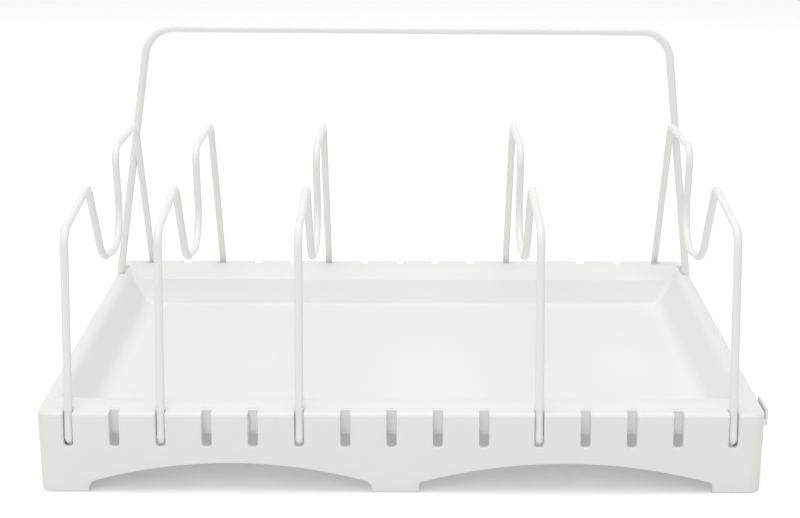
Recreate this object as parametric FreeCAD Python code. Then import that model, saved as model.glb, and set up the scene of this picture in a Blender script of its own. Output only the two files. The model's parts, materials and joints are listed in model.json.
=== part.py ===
import FreeCAD, Part
import math
import os

from FreeCAD import Vector

# Pot lid rack: a moulded tray with a row of slots along its front and back, five bent wire dividers
# whose feet hook into those slots, and one tall wire rail that stands in two side recesses.
# Millimetres. X runs to the right, Y to the back and Z up. The origin is on the surface that the
# rack stands on, under the middle of the tray.

# Tray outline and walls
TRAY_WIDTH = 331.0
TRAY_DEPTH = 260.0
FACE_HEIGHT = 38.4
PLAN_CORNER = 6.0
SKIRT_DRAFT = 0.5
WALL = 2.2
TOP_EDGE_ROUND = 1.8
BOTTOM_EDGE_ROUND = 1.2

# Crowned rim: it rises from the outer face to a crest, then falls gently towards the well at the front
# and back, and is narrow at the sides
CREST_RISE = 0.9
CREST_INSET_Y = 13.0
CREST_INSET_X = 4.5
RIM_FRONT = 30.0
RIM_SIDE = 7.0
RIM_INNER_DROP = 4.2

# Sunken well, whose side walls slope far more than its front and back walls
FLOOR_DROP = 14.95
END_WALL_RUN = 4.5
SIDE_WALL_SLOPE = 0.77
WELL_CORNER = 9.0
WELL_FOOT_ROUND = 3.0

# Arches cut in the front and back skirts, which leave a foot at each corner and one in the middle
CORNER_FOOT = 23.1
MIDDLE_FOOT = 21.5
MIDDLE_FOOT_SHIFT = -2.3
ARCH_SPRING = 5.8
ARCH_RISE = 8.7
ARCH_END_ROUND = 2.8

# Divider slots: where each row ends on the tray, and the gaps along it that are wider than its pitch
SLOT_COUNT = 15
FRONT_END_SPACE = 14.5
FRONT_EXTRA = 4.0
FRONT_EXTRA_AFTER = (9, 13)
BACK_END_SPACE = 16.75
BACK_EXTRA = 1.05
BACK_EXTRA_AFTER = (10, 11, 12, 13)
WIRE_CLEAR = 0.3
SLOT_REAR_CLEAR = 0.25
SLOT_BOTTOM = 22.35
SLOT_ROUND = 1.3
SLOT_FLARE = 0.35
FLARE_DEPTH = 0.7
POCKET_WALL = 1.5
POCKET_CLEAR = 0.35

# Wire dividers
DIVIDER_SLOTS = (0, 2, 5, 10, 14)
DIVIDER_WIRE = 3.6
FOOT_INSET = 1.95
HOOK_LENGTH = 10.0
HOOK_BEND = 2.4
FRONT_LEG_LEAN = 0.13
FRONT_SHOULDER_HEIGHT = 119.8
FRONT_PEAK = (73.5, 126.7)
VALLEY_FRONT = (102.5, 82.8)
VALLEY_BACK = (159.0, 75.6)
BACK_SHOULDER = (149.0, 129.5)
BACK_PEAK = (216.8, 128.6)
SHOULDER_BEND = 9.0
FRONT_PEAK_BEND = 9.0
VALLEY_FRONT_BEND = 24.0
VALLEY_BACK_BEND = 19.0
BACK_PEAK_BEND = 10.0
BACK_LEG_BEND = 12.0

# Tall rail, which is bent a little unevenly, and the side recesses that hold its feet
RAIL_WIRE = 4.3
RAIL_LEFT_HEIGHT = 180.6
RAIL_RIGHT_HEIGHT = 178.7
RAIL_FROM_BACK = 30.5
RAIL_OUTER_INSET = 0.35
RAIL_LEFT_LEAN_DEG = 8.6
RAIL_RIGHT_LEAN_DEG = 6.5
RAIL_CORNER = 16.5
RAIL_LEG_BEND = 14.0
RAIL_FOOT_BEND = 5.0
RAIL_FOOT_RUN = 14.0
RAIL_CLEAR = 0.25
RECESS_GAP = 1.2
RECESS_FLOOR = 22.0
RECESS_LENGTH = 18.4
RECESS_ROUND = 2.0

# Raised lug on the right-hand skirt, behind the front corner
LUG_PROUD = 1.9
LUG_LENGTH = 18.0
LUG_FROM_FRONT = 6.5
LUG_BOTTOM = 31.0
LUG_RISE = 0.6
LUG_SLIT = 0.5
LUG_SLIT_BOTTOM = 34.0
LUG_ROUND = 0.7

# Heights and places worked out from the sizes above
HALF_WIDTH = TRAY_WIDTH / 2
HALF_DEPTH = TRAY_DEPTH / 2
CREST_HEIGHT = FACE_HEIGHT + CREST_RISE
SHELF_HEIGHT = CREST_HEIGHT - RIM_INNER_DROP
FLOOR_HEIGHT = FACE_HEIGHT - FLOOR_DROP
SHELF_INSET_X = RIM_SIDE + RIM_INNER_DROP * SIDE_WALL_SLOPE
FLOOR_INSET_X = SHELF_INSET_X + (SHELF_HEIGHT - FLOOR_HEIGHT) * SIDE_WALL_SLOPE
SLOT_WIDTH = DIVIDER_WIRE + 2 * WIRE_CLEAR
HOOK_HEIGHT = SLOT_BOTTOM + WIRE_CLEAR + DIVIDER_WIRE / 2
SLOT_DEPTH = (FOOT_INSET + (CREST_HEIGHT - HOOK_HEIGHT) * FRONT_LEG_LEAN + DIVIDER_WIRE / 2
              + SLOT_REAR_CLEAR)
POCKET_BOTTOM = HOOK_HEIGHT + DIVIDER_WIRE / 2 + POCKET_CLEAR
RAIL_FOOT_HEIGHT = RECESS_FLOOR + RAIL_CLEAR + RAIL_WIRE / 2
RAIL_X = HALF_WIDTH - RAIL_OUTER_INSET - RAIL_WIRE / 2
RAIL_Y = HALF_DEPTH - RAIL_FROM_BACK
BEYOND = 2.0


def rounded_outline(half_x, half_y, radius, z):
    """Closed wire of a rectangle with rounded corners, lying flat at height z."""
    edges = []
    signs = [(1, 1), (-1, 1), (-1, -1), (1, -1)]
    corners = []
    for index, (sx, sy) in enumerate(signs):
        centre = Vector(sx * (half_x - radius), sy * (half_y - radius), z)
        start = math.radians(90 * index)
        points = []
        for step in (0, 0.5, 1):
            angle = start + step * math.pi / 2
            points.append(centre + Vector(radius * math.cos(angle), radius * math.sin(angle), 0))
        corners.append(points)
    for index, points in enumerate(corners):
        edges.append(Part.Arc(*points).toShape())
        following = corners[(index + 1) % 4]
        edges.append(Part.LineSegment(points[2], following[0]).toShape())
    return Part.Wire(edges)


def loft_between(lower, upper):
    """Solid between two outlines, with flat sides and with corners ruled from arc to arc."""
    faces = [Part.Face(lower), Part.Face(upper)]
    for low, high in zip(lower.OrderedEdges, upper.OrderedEdges):
        if low.Curve.TypeId == "Part::GeomLine":
            ends = [low.valueAt(low.FirstParameter), low.valueAt(low.LastParameter),
                    high.valueAt(high.LastParameter), high.valueAt(high.FirstParameter)]
            faces.append(Part.Face(Part.makePolygon(ends + ends[:1])))
        else:
            faces.append(Part.makeRuledSurface(low, high))
    shell = Part.makeShell(faces)
    shell.sewShape()
    solid = Part.makeSolid(shell)
    inside_out = solid.Orientation == "Reversed"
    return Part.makeSolid(shell.reversed()) if inside_out else solid


def skirt_form(inset, bottom, lower_top):
    """Outer form of the tray: drafted sides up to the face height, then the crowned top."""
    low = rounded_outline(HALF_WIDTH - SKIRT_DRAFT - inset, HALF_DEPTH - SKIRT_DRAFT - inset,
                          PLAN_CORNER - inset, bottom)
    face = rounded_outline(HALF_WIDTH - inset, HALF_DEPTH - inset, PLAN_CORNER - inset,
                           FACE_HEIGHT - lower_top)
    crest = rounded_outline(HALF_WIDTH - CREST_INSET_X, HALF_DEPTH - CREST_INSET_Y,
                            PLAN_CORNER - inset, CREST_HEIGHT - lower_top)
    return loft_between(low, face).fuse(loft_between(face, crest)).removeSplitter()


def well_form(grow, drop):
    """Form of the sunken well: a gently falling shelf, then a steep wall down to the floor."""
    crest = rounded_outline(HALF_WIDTH - RIM_SIDE + grow, HALF_DEPTH - CREST_INSET_Y + grow,
                            WELL_CORNER + grow, CREST_HEIGHT - drop)
    shelf = rounded_outline(HALF_WIDTH - SHELF_INSET_X + grow, HALF_DEPTH - RIM_FRONT + grow,
                            WELL_CORNER + grow, SHELF_HEIGHT - drop)
    floor = rounded_outline(HALF_WIDTH - FLOOR_INSET_X + grow, HALF_DEPTH - RIM_FRONT - END_WALL_RUN + grow,
                            WELL_CORNER + grow, FLOOR_HEIGHT - drop)
    above = rounded_outline(HALF_WIDTH - RIM_SIDE + grow, HALF_DEPTH - CREST_INSET_Y + grow,
                            WELL_CORNER + grow, CREST_HEIGHT - drop + BEYOND)
    tub = loft_between(floor, shelf)
    foot_edges = [edge for edge in tub.Edges if on_level(edge, FLOOR_HEIGHT - drop)]
    tub = tub.makeFillet(WELL_FOOT_ROUND, foot_edges)
    return tub.multiFuse([loft_between(shelf, crest), loft_between(crest, above)])


def on_level(edge, z):
    """Whether an edge lies wholly at height z."""
    return abs(edge.BoundBox.ZMin - z) < 0.01 and abs(edge.BoundBox.ZMax - z) < 0.01


def row_positions(end_space, extra, extra_after):
    """Slot centres along X, from one end space to the other, with some gaps wider by the extra."""
    gap_count = SLOT_COUNT - 1
    pitch = (TRAY_WIDTH - 2 * end_space - extra * len(extra_after)) / gap_count
    places = [-HALF_WIDTH + end_space]
    for index in range(gap_count):
        gap = pitch + extra if index in extra_after else pitch
        places.append(places[-1] + gap)
    return places


def front_row():
    """Slot centres of the front row."""
    return row_positions(FRONT_END_SPACE, FRONT_EXTRA, FRONT_EXTRA_AFTER)


def back_row():
    """Slot centres of the back row."""
    return row_positions(BACK_END_SPACE, BACK_EXTRA, BACK_EXTRA_AFTER)


def slot_face(flare, y):
    """Upright outline of a slot, grown by the flare, with rounded lower corners and open above the rim."""
    half = SLOT_WIDTH / 2 + flare
    turn = SLOT_ROUND + flare
    low = SLOT_BOTTOM - flare
    bend = turn * math.sin(math.pi / 4)
    top = CREST_HEIGHT + BEYOND
    left_side = Vector(-half, y, low + turn)
    left_base = Vector(-half + turn, y, low)
    right_base = Vector(half - turn, y, low)
    right_side = Vector(half, y, low + turn)
    left_turn = Vector(-half + turn - bend, y, low + turn - bend)
    right_turn = Vector(half - turn + bend, y, low + turn - bend)
    edges = [
        Part.Arc(left_side, left_turn, left_base).toShape(),
        Part.LineSegment(left_base, right_base).toShape(),
        Part.Arc(right_base, right_turn, right_side).toShape(),
        Part.LineSegment(right_side, Vector(half, y, top)).toShape(),
        Part.LineSegment(Vector(half, y, top), Vector(-half, y, top)).toShape(),
        Part.LineSegment(Vector(-half, y, top), left_side).toShape(),
    ]
    return Part.Wire(edges)


def slot_cutter():
    """Cutter of one front slot, at X 0: the slot itself and the flare of its mouth."""
    front = -HALF_DEPTH
    body = Part.Face(slot_face(0, front - BEYOND)).extrude(Vector(0, SLOT_DEPTH + BEYOND, 0))
    mouth = Part.makeLoft([slot_face(SLOT_FLARE, front), slot_face(0, front + FLARE_DEPTH)], True, True)
    outside = Part.Face(slot_face(SLOT_FLARE, front - BEYOND)).extrude(Vector(0, BEYOND, 0))
    return body.multiFuse([mouth, outside])


def slot_pocket():
    """Pocket walls behind one front slot, at X 0, which end above the foot of the wire."""
    width = SLOT_WIDTH + 2 * POCKET_WALL
    depth = SLOT_DEPTH + POCKET_WALL - SKIRT_DRAFT
    height = FACE_HEIGHT - WALL / 2 - POCKET_BOTTOM
    return Part.makeBox(width, depth, height, Vector(-width / 2, -HALF_DEPTH + SKIRT_DRAFT, POCKET_BOTTOM))


def in_both_rows(shape):
    """Copies of a front-row shape at every slot, and turned round at every slot of the back row."""
    copies = []
    for x in front_row():
        copies.append(shape.translated(Vector(x, 0, 0)))
    turned = shape.rotated(Vector(0, 0, 0), Vector(0, 0, 1), 180)
    for x in back_row():
        copies.append(turned.translated(Vector(x, 0, 0)))
    return copies


def arch_cutter(left, right):
    """Cutter of one shallow arch through both skirts, between two feet."""
    middle = (left + right) / 2
    turn = ARCH_END_ROUND
    spring_left = Vector(left + turn, 0, ARCH_SPRING)
    spring_right = Vector(right - turn, 0, ARCH_SPRING)
    crown = Vector(middle, 0, ARCH_SPRING + ARCH_RISE)
    bend = turn * math.sin(math.pi / 4)
    edges = [
        Part.LineSegment(Vector(left, 0, -BEYOND), Vector(left, 0, ARCH_SPRING - turn)).toShape(),
        Part.Arc(Vector(left, 0, ARCH_SPRING - turn),
                 Vector(left + turn - bend, 0, ARCH_SPRING - turn + bend), spring_left).toShape(),
        Part.Arc(spring_left, crown, spring_right).toShape(),
        Part.Arc(spring_right, Vector(right - turn + bend, 0, ARCH_SPRING - turn + bend),
                 Vector(right, 0, ARCH_SPRING - turn)).toShape(),
        Part.LineSegment(Vector(right, 0, ARCH_SPRING - turn), Vector(right, 0, -BEYOND)).toShape(),
        Part.LineSegment(Vector(right, 0, -BEYOND), Vector(left, 0, -BEYOND)).toShape(),
    ]
    outline = Part.Face(Part.Wire(edges))
    outline.translate(Vector(0, -HALF_DEPTH - BEYOND, 0))
    return outline.extrude(Vector(0, TRAY_DEPTH + 2 * BEYOND, 0))


def recess_box(grow, top):
    """Upright block of the right-hand side recess, grown on its inner, front, back and lower sides."""
    inner_x = RAIL_X - RAIL_WIRE / 2 - RECESS_GAP - grow
    front_y = RAIL_Y - RAIL_WIRE / 2 - RAIL_CLEAR - grow
    bottom_z = RECESS_FLOOR - grow
    outer_x = HALF_WIDTH + BEYOND - grow * (BEYOND + SKIRT_DRAFT) / POCKET_WALL
    return Part.makeBox(outer_x - inner_x, RECESS_LENGTH + 2 * grow, top - bottom_z,
                        Vector(inner_x, front_y, bottom_z))


def recess_cutter():
    """Cutter of the right-hand recess, with rounded lower corners."""
    block = recess_box(0, CREST_HEIGHT + BEYOND)
    lower = [edge for edge in block.Edges
             if on_level(edge, RECESS_FLOOR) and edge.BoundBox.YLength < 0.01]
    return block.makeFillet(RECESS_ROUND, lower)


def mirrored_x(shape):
    """The same shape on the other side of the tray."""
    return shape.mirror(Vector(0, 0, 0), Vector(1, 0, 0))


def build_lug():
    """Raised lug on the right-hand skirt, with a thin slit between it and the rim."""
    inner_x = HALF_WIDTH - WALL / 2
    outer_x = HALF_WIDTH + LUG_PROUD
    front_y = -HALF_DEPTH + LUG_FROM_FRONT
    top = FACE_HEIGHT + LUG_RISE
    block = Part.makeBox(outer_x - inner_x, LUG_LENGTH, top - LUG_BOTTOM,
                         Vector(inner_x, front_y, LUG_BOTTOM))
    outer_edges = [edge for edge in block.Edges if edge.BoundBox.XMin > outer_x - 0.01]
    block = block.makeFillet(LUG_ROUND, outer_edges)
    slit = Part.makeBox(LUG_SLIT + WALL, LUG_LENGTH + 2 * BEYOND, top - LUG_SLIT_BOTTOM + BEYOND,
                        Vector(HALF_WIDTH - WALL, front_y - BEYOND, LUG_SLIT_BOTTOM))
    return block.cut(slit)


def build_tray():
    """The moulded tray: skirt, crowned rim, well, slots with their pockets, recesses, arches and lug."""
    outer = skirt_form(0, 0, 0)
    face_edges = [edge for edge in outer.Edges if on_level(edge, FACE_HEIGHT)]
    outer = outer.makeFillet(TOP_EDGE_ROUND, face_edges)
    bottom_edges = [edge for edge in outer.Edges if on_level(edge, 0)]
    outer = outer.makeFillet(BOTTOM_EDGE_ROUND, bottom_edges)
    hollow = skirt_form(WALL, -BEYOND, WALL).cut(well_form(WALL, WALL))
    shell = outer.cut([well_form(0, 0), hollow])
    recess_walls = recess_box(POCKET_WALL, FACE_HEIGHT - WALL / 2)
    added = in_both_rows(slot_pocket()) + [recess_walls, mirrored_x(recess_walls), build_lug()]
    shell = shell.multiFuse(added)
    cutters = in_both_rows(slot_cutter())
    cutters += [recess_cutter(), mirrored_x(recess_cutter())]
    foot_edge = HALF_WIDTH - CORNER_FOOT
    cutters.append(arch_cutter(-foot_edge, MIDDLE_FOOT_SHIFT - MIDDLE_FOOT / 2))
    cutters.append(arch_cutter(MIDDLE_FOOT_SHIFT + MIDDLE_FOOT / 2, foot_edge))
    return shell.cut(cutters).removeSplitter()


def bent_path(points, radii):
    """Wire through the points: straight runs joined at each inner point by a tangent arc."""
    edges = []
    start = points[0]
    for index in range(1, len(points) - 1):
        corner = points[index]
        before = (points[index - 1] - corner).normalize()
        after = (points[index + 1] - corner).normalize()
        opening = before.getAngle(after)
        reach = radii[index - 1] / math.tan(opening / 2)
        arc_start = corner + before * reach
        arc_end = corner + after * reach
        middle = (before + after).normalize()
        centre_distance = radii[index - 1] / math.sin(opening / 2)
        arc_middle = corner + middle * (centre_distance - radii[index - 1])
        edges.append(Part.LineSegment(start, arc_start).toShape())
        edges.append(Part.Arc(arc_start, arc_middle, arc_end).toShape())
        start = arc_end
    edges.append(Part.LineSegment(start, points[-1]).toShape())
    return Part.Wire(edges)


def bend_wire(points, radii, diameter):
    """Round wire of one diameter bent along the points."""
    path = bent_path(points, radii)
    direction = points[1] - points[0]
    section = Part.Wire(Part.makeCircle(diameter / 2, points[0], direction))
    return path.makePipeShell([section], True, False)


def build_divider():
    """One divider in the plane X 0, with its front foot over Y 0 of its own frame."""
    front = FOOT_INSET
    back = TRAY_DEPTH - FOOT_INSET
    shoulder_y = front + (FRONT_SHOULDER_HEIGHT - HOOK_HEIGHT) * FRONT_LEG_LEAN
    side_points = [
        (front + HOOK_LENGTH, HOOK_HEIGHT),
        (front, HOOK_HEIGHT),
        (shoulder_y, FRONT_SHOULDER_HEIGHT),
        FRONT_PEAK,
        VALLEY_FRONT,
        VALLEY_BACK,
        BACK_SHOULDER,
        BACK_PEAK,
        (back, CREST_HEIGHT),
        (back, HOOK_HEIGHT),
        (back - HOOK_LENGTH, HOOK_HEIGHT),
    ]
    radii = [HOOK_BEND, SHOULDER_BEND, FRONT_PEAK_BEND, VALLEY_FRONT_BEND, VALLEY_BACK_BEND,
             SHOULDER_BEND, BACK_PEAK_BEND, BACK_LEG_BEND, HOOK_BEND]
    points = [Vector(0, y - front, z) for y, z in side_points]
    return bend_wire(points, radii, DIVIDER_WIRE)


def place_divider(divider, slot):
    """Stand a divider in a pair of slots, turned to run from its front slot to its back slot."""
    front_x = front_row()[slot]
    back_x = back_row()[slot]
    span = TRAY_DEPTH - 2 * FOOT_INSET
    turn = -math.degrees(math.atan2(back_x - front_x, span))
    placed = divider.rotated(Vector(0, 0, 0), Vector(0, 0, 1), turn)
    return placed.translated(Vector(front_x, -HALF_DEPTH + FOOT_INSET, 0))


def rail_leg(side, height, lean_deg):
    """Points of one leg of the rail, from the end of its foot to its upper corner. Side is 1 or -1."""
    corner_x = RAIL_X - (height - CREST_HEIGHT) * math.tan(math.radians(lean_deg))
    return [
        Vector(side * RAIL_X, RAIL_Y + RAIL_FOOT_RUN, RAIL_FOOT_HEIGHT),
        Vector(side * RAIL_X, RAIL_Y, RAIL_FOOT_HEIGHT),
        Vector(side * RAIL_X, RAIL_Y, CREST_HEIGHT),
        Vector(side * corner_x, RAIL_Y, height),
    ]


def build_rail():
    """The tall rail: a foot along each recess, two legs that lean in, and the bar across the top."""
    right = rail_leg(1, RAIL_RIGHT_HEIGHT, RAIL_RIGHT_LEAN_DEG)
    left = rail_leg(-1, RAIL_LEFT_HEIGHT, RAIL_LEFT_LEAN_DEG)
    radii = [RAIL_FOOT_BEND, RAIL_LEG_BEND, RAIL_CORNER]
    return bend_wire(right + left[::-1], radii + radii[::-1], RAIL_WIRE)


def build_pieces():
    """Every piece of the rack by its name."""
    pieces = {"tray": build_tray()}
    divider = build_divider()
    for number, slot in enumerate(DIVIDER_SLOTS, start=1):
        pieces["lid_divider_%d" % number] = place_divider(divider, slot)
    pieces["tall_rail"] = build_rail()
    return pieces


def main():
    """Write one file for each piece."""
    os.makedirs("parts", exist_ok=True)
    for name, shape in build_pieces().items():
        print(name, "solids", len(shape.Solids), "valid", shape.isValid(), "volume", round(shape.Volume, 1))
        shape.exportStep("parts/%s.step" % name)


main()
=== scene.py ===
"""Pot lid rack, dressed for the studio around its fixed frame.

A white moulded tray with a row of slots along its front and back carries five bent wire dividers and
one tall wire rail. Every length is in metres. X runs to the right, Y to the back and Z up.
"""

import json
import logging
import math
from collections.abc import Callable
from dataclasses import dataclass, field
from enum import Enum

import bpy
from mathutils import Matrix, Vector

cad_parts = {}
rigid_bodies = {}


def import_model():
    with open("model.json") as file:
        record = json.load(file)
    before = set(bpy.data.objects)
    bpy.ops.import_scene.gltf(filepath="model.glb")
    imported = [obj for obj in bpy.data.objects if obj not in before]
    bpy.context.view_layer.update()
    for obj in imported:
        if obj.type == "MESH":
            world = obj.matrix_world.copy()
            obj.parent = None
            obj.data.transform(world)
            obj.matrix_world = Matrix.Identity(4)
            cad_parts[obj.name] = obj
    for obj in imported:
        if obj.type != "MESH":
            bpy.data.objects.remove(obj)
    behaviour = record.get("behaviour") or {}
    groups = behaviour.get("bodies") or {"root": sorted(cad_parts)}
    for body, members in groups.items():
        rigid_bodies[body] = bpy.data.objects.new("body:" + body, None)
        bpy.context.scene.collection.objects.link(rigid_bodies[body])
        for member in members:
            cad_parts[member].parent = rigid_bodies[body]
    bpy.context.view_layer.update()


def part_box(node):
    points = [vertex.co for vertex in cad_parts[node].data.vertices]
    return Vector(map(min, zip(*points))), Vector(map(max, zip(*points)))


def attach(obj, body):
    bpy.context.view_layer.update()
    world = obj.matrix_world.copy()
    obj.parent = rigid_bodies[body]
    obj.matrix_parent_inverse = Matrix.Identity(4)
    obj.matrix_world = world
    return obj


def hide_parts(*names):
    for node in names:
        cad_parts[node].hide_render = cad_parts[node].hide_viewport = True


MM = 0.001
NEAR = 1e-5
FLOW_DETAIL = 3.0
GRAIN_DETAIL = 2.0
SRGB_KNEE = 0.04045
SRGB_SLOPE = 12.92
SRGB_OFFSET = 0.055
SRGB_POWER = 2.4

log = logging.getLogger("lid_rack")


class BooleanKind(Enum):
    """How a cutter or a rib meets the moulding."""

    ADD = "UNION"
    CUT = "DIFFERENCE"


class MaterialSlot(Enum):
    """Material slots of the rack."""

    PLASTIC = "white_plastic"
    WIRE = "coated_wire"


def paint(tones: tuple[float, float, float]) -> tuple[float, float, float, float]:
    """Turn display tones into a linear colour.

    Args:
        tones: Red, green and blue, each from 0 to 255.

    Returns:
        The colour with full alpha.
    """
    shares = [level / 255 for level in tones]
    linear = [
        share / SRGB_SLOPE if share <= SRGB_KNEE
        else ((share + SRGB_OFFSET) / (1 + SRGB_OFFSET)) ** SRGB_POWER
        for share in shares
    ]
    return (linear[0], linear[1], linear[2], 1.0)


def select_only(*chosen: bpy.types.Object) -> None:
    """Select these objects and nothing else, with the first one active.

    Args:
        chosen: Objects to select.
    """
    for obj in bpy.data.objects:
        obj.select_set(False)
    for obj in chosen:
        obj.select_set(True)
    bpy.context.view_layer.objects.active = chosen[0]


def apply_place(obj: bpy.types.Object) -> None:
    """Move an object's place, turn and scale into its mesh.

    Args:
        obj: Mesh object.
    """
    select_only(obj)
    bpy.ops.object.transform_apply(location=True, rotation=True, scale=True)


def apply_modifiers(obj: bpy.types.Object) -> None:
    """Apply every modifier of an object in order.

    Args:
        obj: Mesh object.
    """
    select_only(obj)
    for name in [modifier.name for modifier in obj.modifiers]:
        bpy.ops.object.modifier_apply(modifier=name)


def copy_of(obj: bpy.types.Object, name: str) -> bpy.types.Object:
    """Copy a piece with a mesh of its own.

    Args:
        obj: Piece to copy.
        name: Name of the copy.

    Returns:
        The copy.
    """
    select_only(obj)
    bpy.ops.object.duplicate(linked=False)
    twin = bpy.context.active_object
    twin.name = name
    twin.data.name = name
    return twin


def join_all(pieces: list[bpy.types.Object], name: str) -> bpy.types.Object:
    """Join several mesh objects into one.

    Args:
        pieces: Objects to join, of which the first keeps its place.
        name: Name of the joined object.

    Returns:
        The joined object.
    """
    select_only(*pieces)
    bpy.ops.object.join()
    joined = bpy.context.active_object
    joined.name = name
    joined.data.name = name
    return joined


def block(low: Vector | tuple[float, ...], high: Vector | tuple[float, ...]) -> bpy.types.Object:
    """Add a box between its lowest and highest corner.

    Args:
        low: Lowest corner.
        high: Highest corner.

    Returns:
        The box.
    """
    middle = [(a + b) / 2 for a, b in zip(low, high)]
    bpy.ops.mesh.primitive_cube_add(size=1, location=middle)
    box = bpy.context.active_object
    box.scale = [b - a for a, b in zip(low, high)]
    apply_place(box)
    return box


def clear_selection(mesh: bpy.types.Mesh) -> None:
    """Select no point, edge or face of a mesh.

    Args:
        mesh: Mesh that isn't in edit mode.
    """
    for part in (mesh.polygons, mesh.edges, mesh.vertices):
        part.foreach_set("select", [False] * len(part))


def round_edges(obj: bpy.types.Object, chosen: Callable[[Vector, Vector], bool], radius: float,
                segments: int = 5) -> None:
    """Round the edges whose two ends pass a test.

    Args:
        obj: Mesh object.
        chosen: Test of the two ends of an edge.
        radius: Radius of the round.
        segments: Number of steps of the round.
    """
    select_only(obj)
    mesh = obj.data
    clear_selection(mesh)
    for edge in mesh.edges:
        start, end = (mesh.vertices[index].co for index in edge.vertices)
        edge.select = chosen(start, end)
    bpy.context.tool_settings.mesh_select_mode = (False, True, False)
    bpy.ops.object.mode_set(mode="EDIT")
    bpy.ops.mesh.bevel(offset=radius, segments=segments, affect="EDGES")
    leave_edit()


def edit_faces(obj: bpy.types.Object, facing: Vector) -> None:
    """Enter edit mode with the faces selected that face one way.

    Args:
        obj: Mesh object.
        facing: Direction that the faces face.
    """
    nearly = 0.99
    select_only(obj)
    mesh = obj.data
    clear_selection(mesh)
    for face in mesh.polygons:
        face.select = face.normal.dot(facing) > nearly
    bpy.context.tool_settings.mesh_select_mode = (False, False, True)
    bpy.ops.object.mode_set(mode="EDIT")


def leave_edit() -> None:
    """Leave edit mode, with points to be selected next."""
    bpy.ops.mesh.select_mode(type="VERT")
    bpy.ops.object.mode_set(mode="OBJECT")


def combine(base: bpy.types.Object, tool: bpy.types.Object, kind: BooleanKind) -> None:
    """Add a shape to a piece or cut it out, and remove the shape.

    Args:
        base: Piece that is changed.
        tool: Shape that is added or cut out.
        kind: Whether it is added or cut out.
    """
    step = base.modifiers.new(kind.name.lower(), "BOOLEAN")
    step.operation = kind.value
    step.solver = "EXACT"
    step.object = tool
    apply_modifiers(base)
    bpy.data.objects.remove(tool)


@dataclass(frozen=True)
class MouldedPlastic:
    """White injection-moulded plastic with a fine satin texture.

    Attributes:
        name: Name of the material.
        base: Display tones of the plastic.
        flow_depth: Share by which the tone varies over the moulding.
        flow_scale: Patches of that variation to the metre.
        grain_scale: Grains of the satin texture to the metre.
        grain_depth: Height of the grain, in metres.
        roughness: Roughness of the surface.
        roughness_spread: How far the roughness varies.
    """

    name: str = "moulded_plastic"
    base: tuple[float, float, float] = (239, 239, 236)
    flow_depth: float = 0.015
    flow_scale: float = 14.0
    grain_scale: float = 1500.0
    grain_depth: float = 0.00002
    roughness: float = 0.42
    roughness_spread: float = 0.06

    def build(self) -> bpy.types.Material:
        """Build the material and return it."""
        return build_finish(self)


@dataclass(frozen=True)
class CoatedWire:
    """Steel wire under a smooth white coating with faint orange peel.

    Attributes:
        name: Name of the material.
        base: Display tones of the coating.
        flow_depth: Share by which the tone varies along the wire.
        flow_scale: Patches of that variation to the metre.
        grain_scale: Ripples of the coating to the metre.
        grain_depth: Height of the ripples, in metres.
        roughness: Roughness of the surface.
        roughness_spread: How far the roughness varies.
    """

    name: str = "coated_wire"
    base: tuple[float, float, float] = (242, 242, 240)
    flow_depth: float = 0.012
    flow_scale: float = 30.0
    grain_scale: float = 700.0
    grain_depth: float = 0.00003
    roughness: float = 0.3
    roughness_spread: float = 0.05

    def build(self) -> bpy.types.Material:
        """Build the material and return it."""
        return build_finish(self)


def build_finish(finish: MouldedPlastic | CoatedWire) -> bpy.types.Material:
    """Build a procedural material from a finish.

    Args:
        finish: Finish with its tone, grain and roughness.

    Returns:
        The new material.
    """
    material = bpy.data.materials.new(finish.name)
    material.use_nodes = True
    nodes = material.node_tree.nodes
    links = material.node_tree.links
    shader = nodes["Principled BSDF"]
    place = nodes.new("ShaderNodeTexCoord")

    flow = nodes.new("ShaderNodeTexNoise")
    flow.inputs["Scale"].default_value = finish.flow_scale
    flow.inputs["Detail"].default_value = FLOW_DETAIL
    links.new(place.outputs["Object"], flow.inputs["Vector"])
    colour = nodes.new("ShaderNodeMix")
    colour.data_type = "RGBA"
    light = paint(finish.base)
    colour.inputs["A"].default_value = tuple(c * (1 - finish.flow_depth) for c in light[:3]) + (1.0,)
    colour.inputs["B"].default_value = light
    links.new(flow.outputs["Fac"], colour.inputs["Factor"])
    links.new(colour.outputs["Result"], shader.inputs["Base Color"])

    grain = nodes.new("ShaderNodeTexNoise")
    grain.inputs["Scale"].default_value = finish.grain_scale
    grain.inputs["Detail"].default_value = GRAIN_DETAIL
    links.new(place.outputs["Object"], grain.inputs["Vector"])
    gloss = nodes.new("ShaderNodeMapRange")
    gloss.inputs["To Min"].default_value = finish.roughness - finish.roughness_spread
    gloss.inputs["To Max"].default_value = finish.roughness + finish.roughness_spread
    links.new(grain.outputs["Fac"], gloss.inputs["Value"])
    links.new(gloss.outputs["Result"], shader.inputs["Roughness"])
    bump = nodes.new("ShaderNodeBump")
    bump.inputs["Distance"].default_value = finish.grain_depth
    bump.inputs["Strength"].default_value = 1.0
    links.new(grain.outputs["Fac"], bump.inputs["Height"])
    links.new(bump.outputs["Normal"], shader.inputs["Normal"])
    return material


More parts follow.
